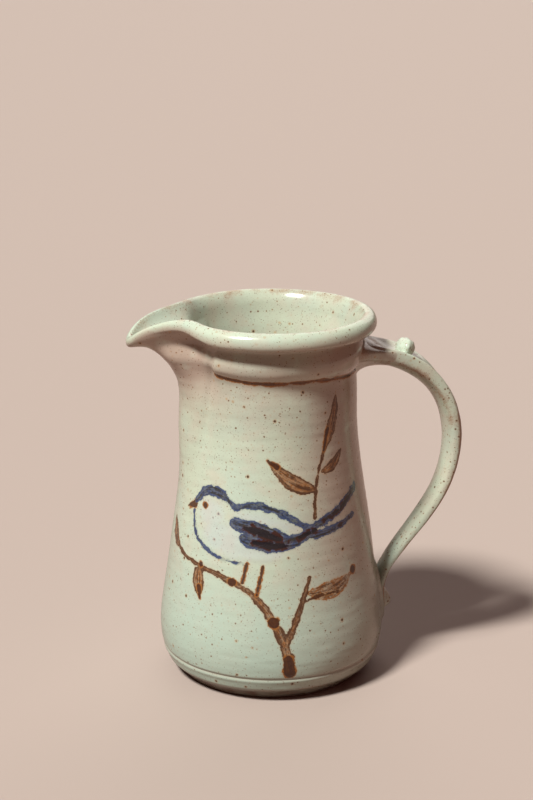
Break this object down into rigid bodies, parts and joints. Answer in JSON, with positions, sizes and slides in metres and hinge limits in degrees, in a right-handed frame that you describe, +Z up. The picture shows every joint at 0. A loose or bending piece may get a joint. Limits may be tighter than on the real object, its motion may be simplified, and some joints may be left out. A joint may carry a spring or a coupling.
{
  "type": "ceramic pitcher",
  "caption": "Wheel-thrown stoneware pitcher with a pinched pouring spout, a rolled rim, a collar band and a channelled strap handle, for serving drinks or as a vase.",
  "frame": {"origin": "centre of the flat foot, on the surface the pitcher stands on", "axes": "+Z up along the wheel axis, -X towards the pouring spout, +X towards the handle"},
  "size_m": [0.1628, 0.1101, 0.1818],
  "materials": {
    "speckled_glaze": "satin cream stoneware glaze with iron specks, brown where it breaks over edges, and brushwork in iron and cobalt",
    "speckled_glaze_handle": "the same satin cream glaze with iron specks, breaking brown along the strap's ridges"
  },
  "bodies": {
    "root": {"thrown_body": "speckled_glaze", "strap_handle": "speckled_glaze_handle", "thumb_stop": "speckled_glaze_handle", "upper_joint_coil": "speckled_glaze_handle"}
  },
  "joints": []
}
